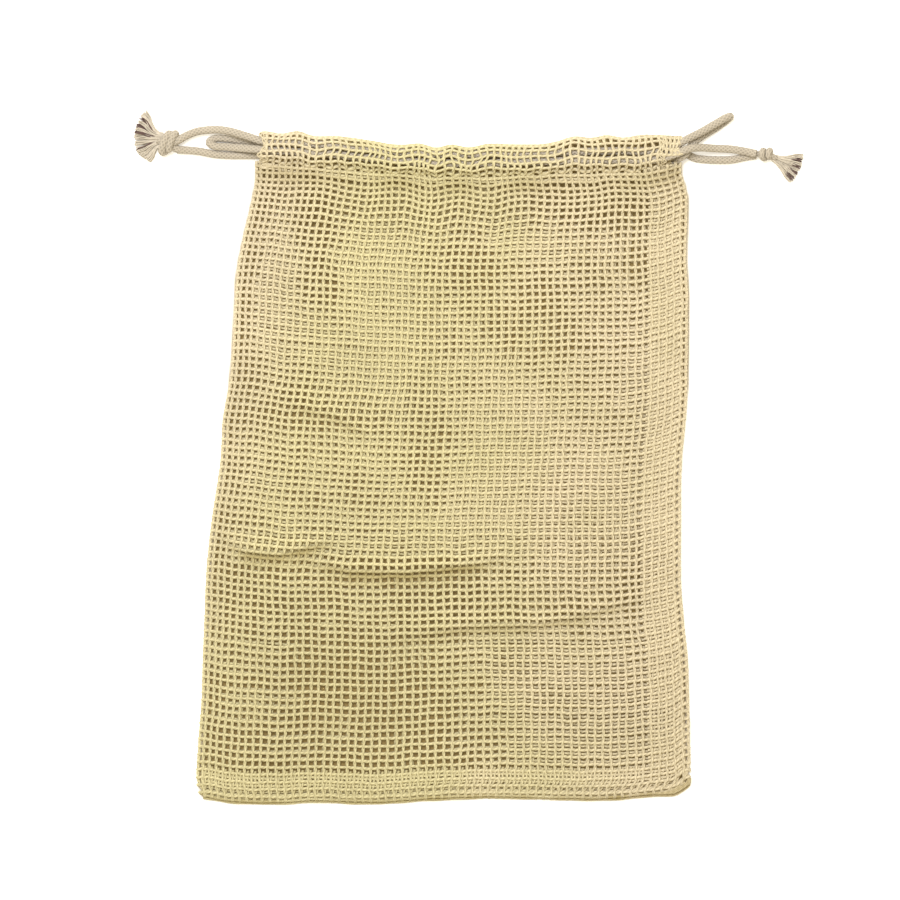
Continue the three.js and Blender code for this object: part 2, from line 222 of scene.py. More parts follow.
RIGHT_CORD_ROUTE = [
    (159.2, 161, 6.5), (152.5, 162.4, 5.5), (146, 163.4, 4.8), (138.2, 163.7, 6.1),
    (131, 163.9, 9.3), (125, 163.4, 11.7), (118, 160.7, 11.6), (108, 157.8, FRONT),
    (90, 157.6, FRONT), (60, 157.1, FRONT), (30, 156.2, FRONT), (0, 156, FRONT),
    (-30, 157.8, FRONT), (-60, 160.8, FRONT), (-80, 162, FRONT), (-92.8, 162.8, FRONT),
    (-97.9, 163.3, 9.8), (-104, 163.9, 6.6), (-111.7, 164.6, 4.3), (-117, 165, 3.7),
    (-119.9, 167, 2.8), (-117, 168.9, 2.2), (-111.7, 168.9, 2.2), (-104, 167.9, 2.2),
    (-97.9, 167, 2.7), (-92.8, 166.2, BACK), (-80, 165.2, BACK), (-60, 164.4, BACK),
    (-30, 161.8, BACK), (0, 160.2, BACK), (30, 160.7, BACK), (60, 161.8, BACK),
    (90, 162.5, BACK), (108, 163, BACK), (115, 163.6, BACK), (119.6, 163.4, 2.6),
    (124, 161, 2.2), (128, 159, 2.2), (132.5, 158.3, 2.2), (138.2, 158, 2.2),
    (147.4, 158.2, 2.2), (153, 159.4, 2.2), (159.2, 160.4, 2.2),
]
# The knots: middle, half sizes, how much of its thickness the tightened cord keeps, how far the knot leans,
# and the lines of the ends inside it
KNOTS = {
    "left": {
        "centre": (-140.8, 166.6, 4.9), "radii": (4.9, 6.7, 4.7), "tightness": 1.0, "lean": 0.42,
        "cores": [
            [(-146, 168.2, 3.6), (-140.8, 166.6, 4.9), (-135.4, 167.7, 5.2)],
            [(-140.8, 166.4, 4.6), (-138, 164.4, 3.4), (-134.4, 163.1, 2.6)],
        ],
    },
    "right": {
        "centre": (164.0, 160.8, 4.6), "radii": (4.7, 3.6, 4.3), "tightness": 0.8, "lean": 0.12,
        "cores": [[(158.2, 160.8, 4.6), (164, 160.8, 4.6), (169.5, 158.8, 3.4)]],
    },
}
FRAYS = {  # angles in radians from +X: the whole fan, its dark yarns and its shorter ones
    "left": {
        "root": (-143.2, 168.4, 3.2), "length": 15.2, "from": 2.22, "to": 4.02,
        "strands": 260, "neck": 3.3,
        "dark": [(2.45, 2.56), (2.66, 2.78), (2.88, 2.98), (3.38, 3.44)], "dark_from": 0.35,
        "short": (3.3, 4.1), "seed": 40,
    },
    "right": {
        "root": (166.6, 160.0, 2.8), "length": 16.6, "from": -0.86, "to": -0.02,
        "strands": 130, "neck": 1.3,
        "dark": [(-0.8, -0.68), (-0.6, -0.52), (-0.44, -0.36), (-0.26, -0.14)], "dark_from": 0.76,
        "short": (3, 4), "seed": 41,
    },
}
CORD_SPACING = 0.8  # between the points of a cord's line
FRAY_YARN = 0.0006  # its diameter in metres
DARK_TINT = 3.0  # the tint of a dark yarn in a frayed end

# The stage, in metres
SENSOR = 36.0  # in millimetres
CAMERA_PLACE = (0.00306, 0.00995, 3.0)
SEEN_WIDTH = 0.459  # what the frame spans at the bag, and how far that is from the camera
SEEN_FROM = 2.995
KEY_PLACE = (-0.4, 0.75, 2.42)
KEY_SIZE = 1.0  # of a square light
FLOOR_STEP = 1.5  # in millimetres, as the rest of the floor
FLOOR_REACH = 6000.0
PAINTED_UNDER_BAG_FADE = (0.2, 2.2)  # how far inside the bag's outline the floor's painted shade and painted glow come in

# The finishes
TWIST_RUN = 0.004  # the twist of a yarn is the angle that its plies turn through over this length
PLIED_FIBRE = 3800  # scales of the noise in the cotton: its fibres, and its wide patches
PLIED_PATCH = 24
BRAID_FIBRE = 2600
BRAID_PATCH = 60
SHADED_TINTS = (-1.5, -12.0)  # the values of tint between which the painted shade comes over the cotton
PAINTED_GLOW = 0.045  # strength of the painted glow of the net's yarns, which stands for the little light that they let through

COLOUR = {"size": 3, "min": 0, "max": 1, "subtype": "COLOR"}
LENGTH = {"subtype": "DISTANCE", "unit": "LENGTH"}


# ---------------------------------------------------------------- sizes and colours a user may change

class NetSettings(bpy.types.PropertyGroup):
    """Sizes and colours of the net sack."""

    yarn: FloatProperty(
        name="Yarn", description="Diameter of one yarn of a lengthways pair",
        default=0.0012, min=0.0003, max=0.0015, **LENGTH,
    )
    weft: FloatProperty(
        name="Crossways thread", description="Diameter of a crossways thread",
        default=0.00172, min=0.0004, max=0.002, **LENGTH,
    )
    seed: IntProperty(name="Seed", description="Seed of the small unevenness", default=7, min=0)
    colour: FloatVectorProperty(
        name="Cotton", description="Colour of the net's cotton", default=(0.60, 0.56, 0.35), **COLOUR,
    )
    pale: FloatVectorProperty(
        name="Pale cotton", description="Colour of the cotton towards the sewn side and the upper left",
        default=(0.625, 0.56, 0.42), **COLOUR,
    )
    # painted shade: the colour that the cotton turns to in the creases, under the casing, at the foot and
    # in the hem
    shade: FloatVectorProperty(
        name="Shaded cotton", description="Colour that the cotton turns to in the creases and the hem",
        default=(0.25, 0.20, 0.065), **COLOUR,
    )
    # painted glow: the yarns give off a little of this colour, standing for the light that they let through
    painted_glow_colour: FloatVectorProperty(
        name="Light through", description="Colour of the little light that the yarns let through",
        default=(1.0, 0.60, 0.12), **COLOUR,
    )


class CordSettings(bpy.types.PropertyGroup):
    """Sizes and colours of the drawcords."""

    diameter: FloatProperty(
        name="Cord", description="Diameter of a drawcord", default=0.004, min=0.002, max=0.005, **LENGTH,
    )
    braid: FloatProperty(
        name="Braid", description="Length of one plait of the braid along a drawcord",
        default=0.0024, min=0.001, max=0.006, **LENGTH,
    )
    colour: FloatVectorProperty(
        name="Cord", description="Colour of the drawcords", default=(0.465, 0.42, 0.36), **COLOUR,
    )
    loose: FloatVectorProperty(
        name="Loose yarn", description="Colour of the pale yarns in the frayed ends",
        default=(0.60, 0.55, 0.48), **COLOUR,
    )
    fleck: FloatVectorProperty(
        name="Fleck", description="Colour of the dark yarns in the frayed ends",
        default=(0.12, 0.075, 0.07), **COLOUR,
    )


class StageSettings(bpy.types.PropertyGroup):
    """The floor and the light."""

    floor: FloatVectorProperty(
        name="Floor", description="Colour of the floor round the bag", default=(0.92, 0.92, 0.92), **COLOUR,
    )
    glow: FloatProperty(
        name="Glow", description="How much light the floor gives off itself", default=0.35, min=0,
    )
    # painted shade: the floor where the bag covers it is dark and warm
    shade: FloatVectorProperty(
        name="Floor under the bag", description="Colour of the floor where the bag covers it",
        default=(0.20, 0.145, 0.06), **COLOUR,
    )
    # painted glow: the floor under the bag gives off this warm light
    painted_glow_colour: FloatVectorProperty(
        name="Glow under the bag", description="Colour of the floor's own light where the bag covers it",
        default=(0.25, 0.175, 0.065), **COLOUR,
    )
    key: FloatProperty(
        name="Key", description="Power of the main light, high over the bag",
        default=64.0, min=0, unit="POWER",
    )
    fill: FloatProperty(
        name="Fill", description="Strength of the light from all round", default=0.84, min=0,
    )
    sky: FloatVectorProperty(
        name="Sky", description="Colour of the light from all round", default=(1.0, 0.87, 0.58), **COLOUR,
    )


# ---------------------------------------------------------------- shapes of the sack

def hermite(start, end, leave, arrive, t):
    """The cubic from start to end with its slopes at both."""
    return (
        start * (2 * t**3 - 3 * t**2 + 1) + end * (3 * t**2 - 2 * t**3)
        + leave * (t**3 - 2 * t**2 + t) + arrive * (t**3 - t**2)
    )


def through(pairs, where):
    """Values on the smooth curve through the pairs, which never swings past them."""
    xs, ys = np.array(pairs, float).T
    where = np.clip(where, xs[0], xs[-1])
    span = np.diff(xs)
    slope = np.diff(ys) / span
    product = slope[:-1] * slope[1:]
    total = slope[:-1] + slope[1:]
    tangent = np.zeros(len(xs))
    same = product > 0
    tangent[1:-1][same] = 2 * product[same] / total[same]
    i = np.clip(np.searchsorted(xs, where, side="right") - 1, 0, len(span) - 1)
    t = (where - xs[i]) / span[i]
    return hermite(ys[i], ys[i + 1], tangent[i] * span[i], tangent[i + 1] * span[i], t)


def smoothstep(x, low, high):
    """Zero below low, one above high, and smooth between."""
    t = np.clip((x - low) / (high - low), 0, 1)
    return t * t * (3 - 2 * t)


def mix(a, b, t):
    """The value a part t of the way from a to b."""
    return a + (b - a) * t


def bell(x, y, centre, reach):
    """A smooth hump of height one at a place."""
    return np.exp(-(((x - centre[0]) / reach[0]) ** 2 + ((y - centre[1]) / reach[1]) ** 2))


def ripple(x, length, wander, pace, start=0.0):
    """A wave along X whose length wanders."""
    return np.sin(x / length + wander * np.sin(x / pace) + start)


def along_fold(fold, x, y):
    """How far a fold lifts the net at a place."""
    (x0, y0), (x1, y1), height, reach = fold
    dx, dy = x1 - x0, y1 - y0
    part = np.clip(((x - x0) * dx + (y - y0) * dy) / (dx * dx + dy * dy), 0, 1)
    away = np.hypot(x - x0 - part * dx, y - y0 - part * dy)
    return height * np.exp(-((away / reach) ** 2))


def lap(crease, x, y):
    """How far a place lies above a crease's line, below it when negative, and how strong it is there."""
    line = np.array(crease[0], float)
    over = y - np.interp(x, line[:, 0], line[:, 1])
    first, last = line[0, 0], line[-1, 0]
    span = CREASE_FADE * (last - first)
    return over, smoothstep(x, first - 6, first + span) * (1 - smoothstep(x, last - span, last + 8))


def crease_lift(crease, x, y):
    """The net stands up just above a crease's line and dips just below it."""
    over, inside = lap(crease, x, y)
    above = np.exp(-((np.maximum(over, 0) / crease[2]) ** 2)) * smoothstep(over, -1.2, 1.6)
    below = np.exp(-(((over + 2.2) / 3.2) ** 2))
    return crease[1] * inside * (above - 0.45 * below)


def thread_shade(x, y):
    """How much painted shade darkens the threads under the casing, at the foot, in the lower left and below
    a crease, and how much painted light brightens them just above a crease, in steps of tint.
    """
    under = through(CASING_STITCHES, x) - y
    gathers = 0.75 + 0.25 * ripple(x, 7.0, 2.0, 23.0)
    total = CASING_SHADE * gathers * np.exp(-(((under - 5.0) / 5.5) ** 2))
    total = total + FOOT_SHADE * bell(x, y, (-62, -112), (50, 42))
    total = total + FOOT_SHADE * (1 - smoothstep(y - through(BOTTOM_EDGE, x), 0, 14))
    for crease in CREASES:
        over, inside = lap(crease, x, y)
        below = 0.62 * np.exp(-(((over + 1.2) / 1.8) ** 2)) + 0.5 * np.exp(-(((over + 3.5) / 4.5) ** 2))
        above = np.exp(-(((over - 4.5) / 3.6) ** 2))
        total = total + crease[1] * inside * (SHADE_BELOW * below + SHADE_ABOVE * above)
    return total


def front_height(x, y):
    """Height of the front of the sack at a place inside its outline."""
    left = x - through(LEFT_EDGE, y)
    right = through(RIGHT_EDGE, y) - x
    bottom = y - through(BOTTOM_EDGE, x)
    casing = through(CASING_STITCHES, x) - y
    inside = np.minimum(np.minimum(left, right), bottom)
    slack = smoothstep(inside, 0, EDGE_REACH)
    gathered = 1 - smoothstep(casing, 0, 1.6 * EDGE_REACH)
    flat = mix(FOLD_THICKNESS, BELLY_THICKNESS, slack)
    side = SIDE_ALLOWANCE * COLUMN_WIDTH
    hem = BOTTOM_ALLOWANCE * ROW_HEIGHT
    seam = np.maximum(
        1 - smoothstep(right, side - SEAM_FADE, side + SEAM_FADE),
        1 - smoothstep(bottom, hem - SEAM_FADE, hem + SEAM_FADE),
    )
    folds = sum(along_fold(fold, x, y) for fold in FOLDS)
    folds = folds + sum(crease_lift(crease, x, y) for crease in CREASES)
    rise = (GATHER_THICKNESS - flat) * gathered
    return flat + SEAM_LIFT * seam + folds * slack * (1 - gathered) + rise * smoothstep(inside, -1, 12)


def net_place(a, b):
    """Where column a and row b of the flat net lie, seen from above."""
    part = a / COLUMNS
    t = np.interp(b, *zip(*ROW_RISE))
    x = mix(-122.0, 122.0, part)
    y = mix(-170.0, 150.0, t)
    # the outline bends rows and columns into each other, so a few rounds settle both
    for _ in range(4):
        foot = through(BOTTOM_EDGE, x) + EDGE_INSET
        head = through(CASING_STITCHES, x)
        left = through(LEFT_EDGE, y) + EDGE_INSET
        right = through(RIGHT_EDGE, y) - EDGE_INSET
        arches = ((x - left, *FOLD_ARCH), (right - x, *SEWN_ARCH))
        lift = sum(height * np.exp(-((away / reach) ** 2)) for away, height, reach in arches)
        y = mix(foot, head, t) + lift * np.sin(math.pi * np.clip(t, 0, 1))
        # columns crowd at the folded side, and a little in the upper middle
        crowded = -0.008 * np.tanh((part - 0.40) / 0.06) * smoothstep(y, 20, 50)
        x = mix(left, right, part + (crowded - 0.018 * (1 - np.exp(-part / 0.07)) * (1 - part)))
    # the net is drawn together and leans where it is creased
    for crease in CREASES:
        over, inside = lap(crease, x, y)
        up, down = np.maximum(over, 0), np.minimum(over, 0)
        pull = np.where(over > 0, -np.exp(-up / PULL_REACH), np.exp(down / PULL_REACH))
        y = y + CREASE_PULL * crease[1] * inside * pull * (1 - np.exp(-np.abs(over) / 2.4))
    x = x + 2.0 * bell(x, y, LEAN_PLACE, LEAN_REACH) * np.tanh((y - LEAN_PLACE[1]) / 12)
    # and it is gathered under the casing
    near = np.exp(-np.maximum(through(CASING_STITCHES, x) - y, 0) / 15)
    y = y + 4.4 * near * (1 - near) * ripple(x, 6.1, 1.2, 23)
    x = x + near * (0.75 * ripple(x, 4.4, 1.7, 19) + 0.5 * np.sin(x / 9.7))
    return x, y


def uneven(a, b, seed, size):
    """Small smooth unevenness over the net, the same each run."""
    rng = np.random.default_rng(seed)
    total = np.zeros(np.broadcast(a, b).shape)
    for reach in (0.35, 0.9, 1.7):
        for _ in range(5):
            angle = rng.uniform(0, 2 * math.pi)
            phase = rng.uniform(0, 2 * math.pi)
            total = total + np.sin(reach * (a * math.cos(angle) + b * math.sin(angle)) + phase)
    return size * total / math.sqrt(15)


def back_shift(a, b):
    """How many columns and rows the back net is out of step with the front one."""
    x, y = net_place(a, b)
    open_left = smoothstep(-y, 40, 70) * (1 - smoothstep(x, -6, 40))
    spots = sum(much * bell(x, y, centre, reach) for centre, reach, much in OPEN_SPOTS)
    still = np.clip(1 - open_left - spots, 0, 1)
    lower_right = np.minimum(1, 1.4 * bell(x, y, (68, -122), (46, 42)))
    lower_left = bell(x, y, (-92, -98), (18, 26))
    drift = 0.27 + 0.15 * np.sin(x / 31 + y / 47 + 1) + 0.08 * np.sin(x / 13 - y / 29)
    columns = still * (1 - lower_right) * drift
    rows = mix(still * (0.33 + 0.12 * np.sin(x / 53 - y / 29)), 0.44, lower_right)
    rows = rows + 0.30 * lower_left + 0.07 * np.sin(x / 23 + y / 19)
    edge = smoothstep(a, 0, 5) * smoothstep(COLUMNS - a, 0, 5) * smoothstep(b, 0, 4)
    return columns * edge, rows * edge


# ---------------------------------------------------------------- threads as lines

class Threads:
    """Gathers lines of points in millimetres, with how plump the thread is and its tone and painted shade
    at each.
    """

    def __init__(self):
        self.points, self.plump, self.tint, self.lengths = [], [], [], []

    def add(self, points, plump=1.0, tint=0.0, shaded=False):
        count = len(points)
        # shaded threads also get the painted shade and light of thread_shade
        if shaded:
            tint = tint + thread_shade(points[:, 0], points[:, 1])
        self.points.append(np.asarray(points, float))
        self.plump.append(np.broadcast_to(np.asarray(plump, float), count))
        self.tint.append(np.broadcast_to(np.asarray(tint, float), count))
        self.lengths.append(count)

    def mesh(self, name):
        """A mesh of loose edges that holds the lines, for the spinning tree."""
        points = np.concatenate(self.points) * MM
        ends = np.cumsum(self.lengths)
        starts = np.arange(len(points) - 1)
        edges = np.stack([starts, starts + 1], 1)
        edges = np.delete(edges, ends[:-1] - 1, axis=0)
        mesh = bpy.data.meshes.new(name)
        mesh.vertices.add(len(points))
        mesh.vertices.foreach_set("co", points.astype(np.float32).ravel())
        mesh.edges.add(len(edges))
        mesh.edges.foreach_set("vertices", edges.astype(np.int32).ravel())
        for key, values in (("plump", self.plump), ("tint", self.tint)):
            layer = mesh.attributes.new(key, "FLOAT", "POINT")
            layer.data.foreach_set("value", np.concatenate(values).astype(np.float32))
        mesh.update()
        return mesh


def plumpness(rng, count, around=1.0, limit=2.0):
    """How plump a thread is at each of its points, a little uneven."""
    return around + 0.06 * rng.normal(0, 1, count).clip(-limit, limit)


def arc(start, end, out, steps):
    """Points of a half turn between two ends, which swings out by a vector between them."""
    start, end, out = np.array(start, float), np.array(end, float), np.array(out, float)
    turn = np.linspace(0, math.pi, steps)[:, None]
    middle = (start + end) / 2
    return middle + (start - middle) * np.cos(turn) + out * np.sin(turn)


def layer_heights(x, y):
    """Heights of the four layers at a place: front, its allowance, the back's allowance and back."""
    back = BACK_LIFT + 0 * x
    front = front_height(x, y) - FRONT_SINK
    low = front - back - LAYER_ROOM
    front = back + LAYER_ROOM + np.where(low > 0, low, 0.25 * low)
    gap = (front - back) / 3
    return front, front - gap, back + gap, back


def twisted(centre, phase, squash):
    """The two yarns of a lengthways pair, which twist round its centre line."""
    across = np.tile([1.0, 0.0, 0.0], (len(centre), 1))
    normal = np.cross(across, np.gradient(centre, axis=0))
    normal /= np.linalg.norm(normal, axis=1, keepdims=True)
    lift = (TWIST_LIFT * squash * np.cos(phase))[:, None] * normal
    spread = (TWIST_SPREAD * np.sin(phase))[:, None] * across
    return centre + lift + spread, centre - lift - spread


def casing_wall(front):
    """How far along the casing's wall its corners lie, how far up the casing they are, and how high."""
    up, height = np.array(CASING_SHAPE[front], float).T
    leap = np.hypot(np.diff(up) * CASING_DEPTH, np.diff(height))
    run = np.concatenate([[0], np.cumsum(leap)])
    return run / run[-1], up, height


def casing_place(x, q, front):
    """A place on the casing's wall: q runs from its stitches over the outer wall to the inner one."""
    run, up, heights = casing_wall(front)
    foot = through(CASING_STITCHES, x)
    depth = through(TOP_EDGE, x) - foot
    part = np.interp(q, run, up)
    height = np.interp(q, run, heights)
    inside = np.clip(part, 0, 1)
    wave, long_wave, zigzag, lean, ragged = (ripple(x, *sizes) for sizes in CASING_RIPPLES)
    loose = np.sin(math.pi * inside)
    gather = np.clip(1 - part / 0.35, 0, 1)
    y = foot + part * depth + (0.8 * long_wave + 0.45 * zigzag - 0.3) * loose + 0.75 * ragged * inside**3
    y = y + 0.7 * wave * gather * (part > 0.001)
    outer = (q < run[np.argmax(up)]) if front else np.zeros(np.shape(q), bool)
    z = height + outer * (0.35 * wave + 0.25 * long_wave) * loose
    sway = (0.35 * wave * np.sin(part * 9.0) + 1.3 * lean * np.sin(2.3 * math.pi * inside)) * loose
    return np.stack(np.broadcast_arrays(x + sway, y, z), -1)


def casing_steps(front):
    """Where on the casing's wall its crossways threads lie, the inner ones behind the outer ones."""
    run, up, _ = casing_wall(front)
    peak = int(np.argmax(up))
    outer = np.interp(CASING_ROWS_UP, up[: peak + 1], run[: peak + 1])
    behind = (*HEM_ROWS_UP, *CASING_ROWS_UP) if front else CASING_ROWS_UP
    inner = np.interp(behind, up[peak:][::-1], run[peak:][::-1])
    return [*outer, run[peak], *inner]


def panel_point(a, b, front, inner=False):
    """A point on one panel's middle, or on its turned-in allowance."""
    if inner:
        out = smoothstep(COLUMNS - a, 0, 1.5) * smoothstep(b, 0, 1.5)
        da, db = ALLOWANCE_STEP[front]
        x, y = net_place(a + da * out, b + db * out)
    else:
        da, db = (0, 0) if front else back_shift(a, b)
        x, y = net_place(a + da, b + db)
    if front:
        y = y + HEM_SETBACK * np.exp(-b / HEM_FADE)
    heights = layer_heights(x, y)
    z = heights[(1 if front else 2) if inner else (0 if front else 3)]
    z = z + (0.18 if front else 0.10) * (1 + uneven(a, b, 11 if front else 12, 1.0))
    return np.stack(np.broadcast_arrays(x, y, z), -1)


def lengthways(front, seed):
    """The lengthways pairs of one panel, from the hem's allowance up over the casing."""
    made = Threads()
    rng = np.random.default_rng(seed)
    per_cell = 4 if front else 3
    in_z = -1.6 if front else 1.6
    exit_x = FRONT_EXIT if front else CASING_RIGHT
    run, up, _ = casing_wall(front)
    b = np.arange(0, ROWS + 1e-6, 1 / per_cell)
    for column in range(COLUMNS):
        a = column + 0.5
        wobble = rng.normal(0, 0.035)
        # the turned-in hem, its turn and the panel, each with the phase of its twist and its squash
        rows = BOTTOM_ALLOWANCE if a < COLUMNS - SIDE_ALLOWANCE else 1.0
        b_hem = np.arange(rows, 0.01, -1 / 3)
        hem = panel_point(a + 0 * b_hem, b_hem, front, inner=True)
        panel = panel_point(a + (wobble + uneven(a + 0 * b, b, seed + 1, 0.075)), b, front)
        turn = arc(hem[-1], panel[0], (0, -EDGE_TURN, 0), 5)[1:-1]
        stretches = [
            (hem, math.pi * (-b_hem - 0.5), np.ones(len(b_hem))),
            (turn, np.full(3, -0.5 * math.pi), np.full(3, EDGE_SQUASH)),
            (panel, math.pi * (b - 0.5), np.ones(len(b))),
        ]
        top_x = panel[-1, 0]
        if CASING_LEFT + 0.8 < top_x < exit_x - 0.6:
            # over the casing
            q = np.linspace(0, 1, int(CASING_ROWS * per_cell) + 1)[1:]
            over_top = bell(q, 0 * q, (run[np.argmax(up)], 0), (0.09, 1))
            phase = math.pi * (ROWS - 0.5 + q * CASING_ROWS)
            squash = (EDGE_SQUASH if front else CHANNEL_SQUASH) * (1 - 0.55 * over_top)
            stretches.append((casing_place(top_x + 0 * q, q, front), phase, squash))
        else:
            # beside it, the pair turns in and ends
            inward = arc(panel[-1], panel[-1] + (0, 0, in_z), (0, 0.8, 0), 4)[1:]
            end = np.concatenate([inward, inward[-1] + np.array([[0, -1.5, 0], [0, -3.2, 0]])])
            stretches.append((end, np.full(5, (ROWS - 0.5) * math.pi), np.full(5, 0.6)))
        for yarn in twisted(*(np.concatenate(part) for part in zip(*stretches))):
            yarn[:, 2] = np.maximum(yarn[:, 2], YARN_REST)
            made.add(yarn, plumpness(rng, len(yarn), limit=1.5), rng.uniform(-1, 1), shaded=True)
    return made


def edge_pairs(seed):
    """The lengthways pair in the fold on the left, and the two in the turned edges on the right."""
    made = Threads()
    rng = np.random.default_rng(seed)
    b = np.arange(0, ROWS + 1e-6, 0.25)
    bend, rows = EDGE_BEND
    for column, out, depth in EDGE_PAIRS:
        a = column + 0 * b
        centre = mix(panel_point(a, b, True), panel_point(a, b, False), depth)
        centre[:, 0] += out + uneven(a, b, seed, 0.10) - bend * out * (1 - smoothstep(b, 0, rows))
        for yarn in twisted(centre, math.pi * (b - 0.5), EDGE_SQUASH):
            made.add(yarn, 1.0, rng.uniform(-1, 1))
    return made


def allowance_pairs(front, seed):
    """The lengthways pairs of the turned-in side allowance."""
    made = Threads()
    rng = np.random.default_rng(seed)
    b = np.arange(0.5, ROWS + 1e-6, 1 / 3)
    for column in range(int(SIDE_ALLOWANCE)):
        a = COLUMNS - 0.5 - column + uneven(0 * b + column, b, seed, 0.05)
        centre = panel_point(a, b, front, inner=True)
        for yarn in twisted(centre, math.pi * (b - 0.5), EDGE_SQUASH):
            made.add(yarn, 1.0, rng.uniform(-1, 1))
    return made


def crossways(front, seed):
    """The crossways threads of one panel, each with half of its turn at both sides."""
    made = Threads()
    rng = np.random.default_rng(seed)
    a = np.arange(0, COLUMNS + 1e-6, 1 / (4 if front else 3))
    a_in = np.arange(COLUMNS, COLUMNS - SIDE_ALLOWANCE - 0.01, -1 / 3)
    sag = 0.15 * (1 - np.cos(2 * math.pi * (a - 0.5)))
    for row in range(ROWS):
        b = row + 0.5
        drift = rng.normal(0, 0.03) + uneven(a, b + 0 * a, seed + 1, 0.07)
        points = panel_point(a, b + drift, front)
        points[:, 1] -= sag
        other = panel_point(np.array([0.0]), np.array([b]), not front)[0]
        joint = (points[0] + other) / 2 - (EDGE_TURN, 0, 0)
        fold = np.stack([
            mix(joint, points[0], part) - (FOLD_BULGE * math.sin(part * math.pi), 0, 0)
            for part in (0.0, 0.35, 0.7)
        ])
        inner = panel_point(a_in, b + 0 * a_in, front, inner=True)
        turn = arc(points[-1], inner[0], (EDGE_TURN, 0, 0), 5)[1:-1]
        line = np.concatenate([fold, points, turn, inner])
        line[:, 2] = np.maximum(line[:, 2], WEFT_REST)
        made.add(line, plumpness(rng, len(line)), rng.uniform(-1, 1), shaded=True)
    return made


def hem_rows(seed):
    """Crossways threads of the hem's turned-in allowance on both layers, and those in its turn."""
    made = Threads()
    rng = np.random.default_rng(seed)
    for front in (True, False):
        a = np.arange(0.2, COLUMNS - SIDE_ALLOWANCE + 1.6, 1 / 3)
        for row in range(int(BOTTOM_ALLOWANCE)):
            points = panel_point(a, row + 0.5 + 0 * a, front, inner=True)
            made.add(points, 1.0, rng.uniform(-1, 1))
        a = np.arange(0.1, COLUMNS - 0.1, 1 / 3)
        turned = mix(panel_point(a, 0 * a, front), panel_point(a, 0 * a, front, inner=True), 0.5)
        turned[:, 1] += uneven(a, 0 * a, seed + front, 0.15) - 0.5
        # the thread in the hem's turn is darkened unevenly with painted shade
        made.add(turned, 0.8, HEM_SHADE + uneven(a, 0 * a, seed + 4, 3.5))
        # the rolled corner at the hem's right end, darkened further with painted shade
        rolled = smoothstep(a, COLUMNS - CORNER_REACH, COLUMNS - 1)
        for step in (0.7, 1.4):
            corner = turned + np.stack([step * rolled, -0.8 * step * rolled, 0 * a], 1)
            end = corner[-1] + np.array([[0.9, 1.0, 0], [1.3, 3.2, 0]])
            made.add(np.vstack([corner[rolled > 0], end]), 0.8, 1.2 * HEM_SHADE)
    return made


def casing_rows(front, seed):
    """Crossways threads of the casing's walls."""
    made = Threads()
    rng = np.random.default_rng(seed)
    right, step, squashed = (FRONT_EXIT, 1.0, 0.85) if front else (CASING_RIGHT, 1.35, 0.75)
    x = np.arange(CASING_LEFT, right, step)
    for row, q in enumerate(casing_steps(front)):
        line = casing_place(x, q + 0.004 * np.sin(x / 4 + row), front)
        made.add(line, plumpness(rng, len(line), squashed), rng.uniform(-1, 1))
    return made


def flap_place(x, q):
    """A place on the flap, which sinks towards its end."""
    line = casing_place(x, q, True)
    line[:, 2] -= FLAP_DROP * np.clip((x - FRONT_EXIT) / (FLAP_END - FRONT_EXIT), 0, 1)
    return line


def flap(seed):
    """The top of the casing runs on past its right opening, as a small flap over the drawcords."""
    made = Threads()
    rng = np.random.default_rng(seed)
    q = np.linspace(FLAP_FROM, FLAP_TO, 22)
    for x in FLAP_PAIRS:
        for yarn in twisted(flap_place(x + 0 * q, q), q * CASING_ROWS * math.pi, 0.6):
            made.add(yarn, 1.0, rng.uniform(-1, 1))
    x = np.linspace(FRONT_EXIT - 1.5, FLAP_END, 10)
    for q in np.linspace(FLAP_FROM, FLAP_TO, 6):
        made.add(flap_place(x, q + 0 * x), 1.3, rng.uniform(-1, 1))
    return made


def stitches():
    """The sewing thread along the casing's foot, on the front, and the rims of its openings."""
    made = Threads()
    x = np.arange(CASING_LEFT - 2, FRONT_EXIT + 4, 0.7)
    seam = casing_place(x, 0.012 + 0 * x, True)
    lift, rise = STITCH_LIFT
    seam[:, 2] += lift + rise * np.sin(2 * math.pi * x / STITCH_LENGTH)
    seam[:, 1] -= 0.35
    made.add(seam, 1.0, 0.2)
    q = np.linspace(0.0, 1.0, 60)
    for front, right in ((True, FRONT_EXIT), (False, CASING_RIGHT)):
        for side in (CASING_LEFT, right):
            for step in range(3):
                inward = math.copysign(0.7 * step, -side)
                wander = 0.5 * np.sin(q * 70 + step * 2) + 0.8 * np.sin(q * 21 + side)
                made.add(casing_place(side + inward + wander, q, front), 1.5, 0.1 * step)
    return made


# ---------------------------------------------------------------- helpers for nodes

def outside(tree, name, kind, default=None, direction="INPUT"):
    """Adds a socket to a tree's outside."""
    made = tree.interface.new_socket(name=name, in_out=direction, socket_type="NodeSocket" + kind)
    if default is not None:
        made.default_value = default


def wire(tree, value, goal):
    """Links an output to a socket, or sets a plain value on it."""
    if isinstance(value, bpy.types.NodeSocket):
        tree.links.new(value, goal)
    else:
        goal.default_value = value


def add(tree, kind, inputs=None, **settings):
    """A new node with its settings, and with its inputs linked or set by name."""
    made = tree.nodes.new(kind)
    for name, value in settings.items():
        setattr(made, name, value)
    for name, value in (inputs or {}).items():
        wire(tree, value, made.inputs[name])
    return made


def maths(tree, operation, *values):
    """A math node over outputs or plain numbers."""
    made = add(tree, "ShaderNodeMath", operation=operation)
    for value, goal in zip(values, made.inputs):
        wire(tree, value, goal)
    return made.outputs[0]


# ---------------------------------------------------------------- spinning lines into yarn

def capture(tree, geometry, **values):
    """Notes values on a curve, and gives the outputs for the curve and for each of them."""
    made = add(tree, "GeometryNodeCaptureAttribute", {"Geometry": geometry})
    for name, value in values.items():
        made.capture_items.new("FLOAT", name)
        wire(tree, value, made.inputs[name])
    return made.outputs


